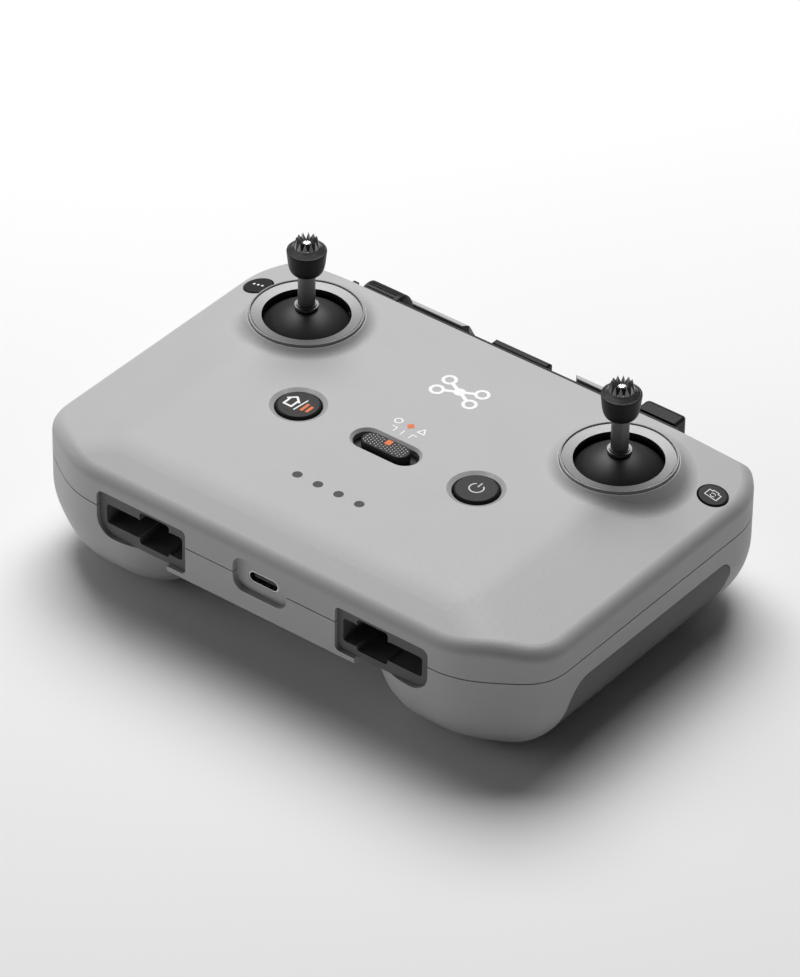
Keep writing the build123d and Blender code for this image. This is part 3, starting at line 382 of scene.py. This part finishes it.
def house_mark():
    """Generic home pictogram with a dividing slash."""
    lines = (
        (-3.75, 0.35, -1.9, 2.15),
        (-2.05, 2.15, -0.05, 0.35),
        (-3.05, 0.7, -3.05, -1.9),
        (-0.75, 0.7, -0.75, -1.9),
        (-3.3, -1.8, -0.5, -1.8),
    )
    return [bar(*line, HOUSE_STROKE) for line in lines] + [bar(0.45, -2.5, 0.95, 2.5, MARK_STROKE)]


def quad_mark():
    """Generic mark of a flying machine seen from above: four rings joined by two arms."""
    arms = [bar(-3.7, -1.9, 3.7, 1.9, 1.0), bar(-3.7, 1.9, 3.7, -1.9, 1.0), disc(0, 0, 1.5)]
    rings = []
    for x in (-ROTOR_X, ROTOR_X):
        for y in (-ROTOR_Y, ROTOR_Y):
            rings += ring_pair(x, y, ROTOR_RADIUS, ROTOR_STROKE, 24)
    return arms + rings


def camera_outline():
    """Outline of a camera with its lens."""
    lines = (
        (-1.75, -1.15, 1.75, -1.15),
        (-1.75, 0.95, -0.8, 0.95),
        (0.8, 0.95, 1.75, 0.95),
        (-1.66, -1.15, -1.66, 0.95),
        (1.66, -1.15, 1.66, 0.95),
        (-0.8, 1.35, 0.8, 1.35),
        (-0.8, 0.85, -0.8, 1.4),
        (0.8, 0.85, 0.8, 1.4),
    )
    lens = [arc_band(0, -0.1, 0.62, 0.2, start, start + 140, 14) for start in (20, 200)]
    return [bar(*line, CAMERA_STROKE) for line in lines] + lens


home_top = top_face("home_button")
pause_bars = [bar(2.0, -1.7, 2.0, 1.5, 0.8), bar(3.4, -1.4, 3.4, 1.2, 0.8)]
power_lines = [arc_band(0, 0, 1.75, MARK_STROKE, 125, 415), bar(0, 0.5, 0, 2.3, MARK_STROKE)]
flat_mark("home_mark", house_mark(), home_top, "home_button", WHITE_INK)
flat_mark("pause_mark", pause_bars, home_top, "home_button", ORANGE_INK)
flat_mark("power_mark", power_lines, top_face("power_button"), "power_button", PALE_INK)
flat_mark("face_mark", quad_mark(), on_plate(0, FACE_MARK_Y), "root", WHITE_INK)


# Low and high edge of the bands: radius and height above the plate
BAND_LOW = (5.93, -0.54)
BAND_HIGH = (6.98, 0.01)
BAND_THICK = 0.04


def dish_band(button):
    """Thin polished band lying on the sloping edge of the dish round a button."""
    plate = PLATE_Z / MM
    low_r, low_z = BAND_LOW[0], plate + BAND_LOW[1]
    high_r, high_z = BAND_HIGH[0], plate + BAND_HIGH[1]
    outer = (high_r + 0.25 * BAND_THICK, high_z - 0.75 * BAND_THICK)
    profile = [(low_r, low_z), (high_r, high_z), outer, (low_r, low_z - BAND_THICK), (low_r, low_z)]
    lathe(f"{button}_band", profile, middle(button), "root", BAND_PLASTIC)


for button in ("home_button", "power_button"):
    dish_band(button)

MODE_Y = 5.1
MODE_FOOT = MODE_Y - 0.9
MODE_PEAK = (3.15, MODE_Y + 1.0)
MODE_RING = ring_pair(-4.06, MODE_Y, 0.95, MARK_STROKE, 20)
MODE_DIAMOND = [[(-1.55, MODE_Y), (-0.46, MODE_Y - 1.2), (0.63, MODE_Y), (-0.46, MODE_Y + 1.2)]]
MODE_TRIANGLE = [
    bar(2.05, MODE_FOOT, 4.25, MODE_FOOT, MARK_STROKE),
    bar(2.15, MODE_FOOT, *MODE_PEAK, MARK_STROKE),
    bar(4.15, MODE_FOOT, *MODE_PEAK, MARK_STROKE),
]
MODE_TICKS = [
    bar(-2.61, 0.9, -2.61, 2.9, TICK_STROKE),
    bar(-2.46, 2.75, -4.2, 2.75, TICK_STROKE),
    bar(-0.45, 0.9, -0.45, 2.8, TICK_STROKE),
    bar(2.0, 0.9, 2.0, 2.75, TICK_STROKE),
    bar(1.85, 2.6, 3.3, 2.6, TICK_STROKE),
]
for name, shapes, ink in (
    ("mode_ring", MODE_RING, WHITE_INK),
    ("mode_diamond", MODE_DIAMOND, ORANGE_INK),
    ("mode_triangle", MODE_TRIANGLE, WHITE_INK),
    ("mode_ticks", MODE_TICKS, WHITE_INK),
):
    flat_mark(name, shapes, on_plate(0, 0), "root", ink)

DOT_PITCH = 0.8
DOT_RADIUS = 0.15
DOT_FIELD = (4.15, 2.2)
MARKER = ((-0.8, 0.2), (0.8, 2.1))
MARKER_GAP = 0.25


def switch_grain():
    """Staggered dots over the pill of the mode switch, clear of its marker."""
    (left, low), (right, high) = MARKER
    dots = []
    for column in range(-8, 9):
        stagger = (column % 2) * DOT_PITCH / 2 - DOT_PITCH / 4
        for row in range(-3, 4):
            x, y = column * DOT_PITCH, row * DOT_PITCH + stagger
            on_pill = math.hypot(max(0, abs(x) - DOT_FIELD[0]), y) < DOT_FIELD[1]
            beside = x < left - MARKER_GAP or x > right + MARKER_GAP
            beyond = y < low - MARKER_GAP or y > high + MARKER_GAP
            if on_pill and (beside or beyond):
                dots.append(disc(x, y, DOT_RADIUS, 10))
    return dots


switch_middle = middle("mode_switch")
switch_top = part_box("mode_switch")[1].z
switch_frame = Matrix.Translation((switch_middle.x, switch_middle.y, switch_top - 0.02 * MM))
flat_mark(
    "switch_dots", switch_grain(), switch_frame, "mode_switch", PALE_INK, 0.035 * MM
)
marker = [[MARKER[0], (MARKER[1][0], MARKER[0][1]), MARKER[1], (MARKER[0][0], MARKER[1][1])]]
flat_mark("switch_marker", marker, switch_frame, "mode_switch", ORANGE_INK, 0.06 * MM)

WING_MARKS = {
    "custom_button": [disc(-1.3, 0, 0.34), disc(0, 0, 0.34), disc(1.3, 0, 0.34)],
    "camera_button": camera_outline(),
}
for name, shapes in WING_MARKS.items():
    flat_mark(f"{name}_mark", shapes, top_face(name), name, WHITE_INK)


# ---------------------------------------------------------------- crowns of the sticks
CROWN_TEETH = 12
# Width and depth of the bars that paint the highlight on each ridge
RIDGE_WIDTH = 0.13 * MM
RIDGE_DEPTH = 0.08 * MM


def crown_cap(side):
    """Bright domed disc in the middle of a crown."""
    node = f"{side}_stick_crown"
    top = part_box(node)[1].z / MM
    # Radius and depth below the teeth's tips
    slope = ((0, 1.1), (0.5, 1.15), (0.85, 1.25), (1.0, 1.42), (1.0, 1.6), (0, 1.6))
    profile = [(radius, top - drop) for radius, drop in slope]
    lathe(f"{side}_crown_cap", profile, middle(node), f"{side}_stick", BRIGHT_METAL_AND_HIGHLIGHT)


def crown_ridge_highlights(side):
    """Painted highlight along the ridge of each tooth of a crown: a thin bar of bright metal standing in
    for the glint on the ridge.
    """
    node = f"{side}_stick_crown"
    centre = middle(node)
    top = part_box(node)[1].z / MM
    start, end = Vector((0.95, 0, top - 1.34)), Vector((2.5, 0, top - 0.07))
    tilt = Matrix.Rotation(-math.atan2(end.z - start.z, end.x - start.x), 4, "Y")
    size = Matrix.Diagonal(((end - start).length * MM, RIDGE_WIDTH, RIDGE_DEPTH, 1))
    shape = bmesh.new()
    for index in range(CROWN_TEETH):
        spoke = Matrix.Rotation(2 * math.pi * index / CROWN_TEETH, 4, "Z")
        axis = Matrix.Translation((centre.x, centre.y, 0)) @ spoke
        place = axis @ Matrix.Translation((start + end) / 2 * MM)
        bmesh.ops.create_cube(shape, size=1.0, matrix=place @ tilt @ size)
    mesh = bpy.data.meshes.new(f"{side}_crown_ridge_highlights")
    shape.to_mesh(mesh)
    shape.free()
    new_object(mesh.name, mesh, f"{side}_stick", BRIGHT_METAL_AND_HIGHLIGHT)


for side in SIDES:
    crown_cap(side)
    crown_ridge_highlights(side)


# ---------------------------------------------------------------- stage, light and camera
FLOOR_HALF = 4.0


def floor():
    """Plain pale floor."""
    mesh = bpy.data.meshes.new("floor")
    shape = bmesh.new()
    corners = ((-1, -1), (1, -1), (1, 1), (-1, 1))
    shape.faces.new([shape.verts.new((x * FLOOR_HALF, y * FLOOR_HALF, 0)) for x, y in corners])
    shape.to_mesh(mesh)
    shape.free()
    look = Look("floor", 0.9, specular=0.1)
    look.colour(look.noise(300.0), [(0.3, (0.82, 0.82, 0.82)), (0.7, (0.84, 0.84, 0.84))])
    mesh.materials.append(look.material)
    stage = bpy.data.objects.new("floor", mesh)
    bpy.context.collection.objects.link(stage)


def area_light(name, place, power, size, target):
    """Soft box of a width and height that faces a target."""
    light = bpy.data.lights.new(name, "AREA")
    light.energy = power
    light.shape = "RECTANGLE"
    light.size, light.size_y = size
    lamp = bpy.data.objects.new(name, light)
    lamp.location = place
    lamp.rotation_euler = (target - Vector(place)).to_track_quat("-Z", "Y").to_euler()
    bpy.context.collection.objects.link(lamp)


def world(strength):
    """Even pale surroundings."""
    surroundings = bpy.data.worlds.new("surroundings")
    surroundings.use_nodes = True
    background = surroundings.node_tree.nodes["Background"]
    background.inputs["Color"].default_value = (1, 1, 1, 1)
    background.inputs["Strength"].default_value = strength
    bpy.context.scene.world = surroundings


def camera():
    """Camera at the viewing angle, with its small roll."""
    right = Vector((math.cos(CAMERA_AZIMUTH), math.sin(CAMERA_AZIMUTH), 0))
    outward = Vector((right.y, -right.x, 0))
    back = outward * math.cos(CAMERA_ELEVATION) + Vector((0, 0, math.sin(CAMERA_ELEVATION)))
    up = back.cross(right)
    rolled_right = right * math.cos(CAMERA_ROLL) + up * math.sin(CAMERA_ROLL)
    rolled_up = up * math.cos(CAMERA_ROLL) - right * math.sin(CAMERA_ROLL)
    eye = bpy.data.cameras.new("camera")
    eye.lens = CAMERA_LENS
    eye.sensor_width = 36
    eye.clip_start = 0.05
    eye.clip_end = 20
    holder = bpy.data.objects.new("camera", eye)
    turn = Matrix((rolled_right, rolled_up, back)).transposed().to_4x4()
    holder.matrix_world = Matrix.Translation(CAMERA_TARGET + back * CAMERA_DISTANCE) @ turn
    bpy.context.collection.objects.link(holder)
    bpy.context.scene.camera = holder


bpy.context.scene.view_settings.view_transform = "Standard"
floor()
world(0.05)
area_light("key", (-0.42, 0.50, 1.1), 21.5, (1.0, 1.0), Vector((0, 0, 0.03)))
area_light("left", (-1.2, -0.6, 0.3), 3.6, (0.7, 0.5), Vector((0, 0, 0.02)))
camera()
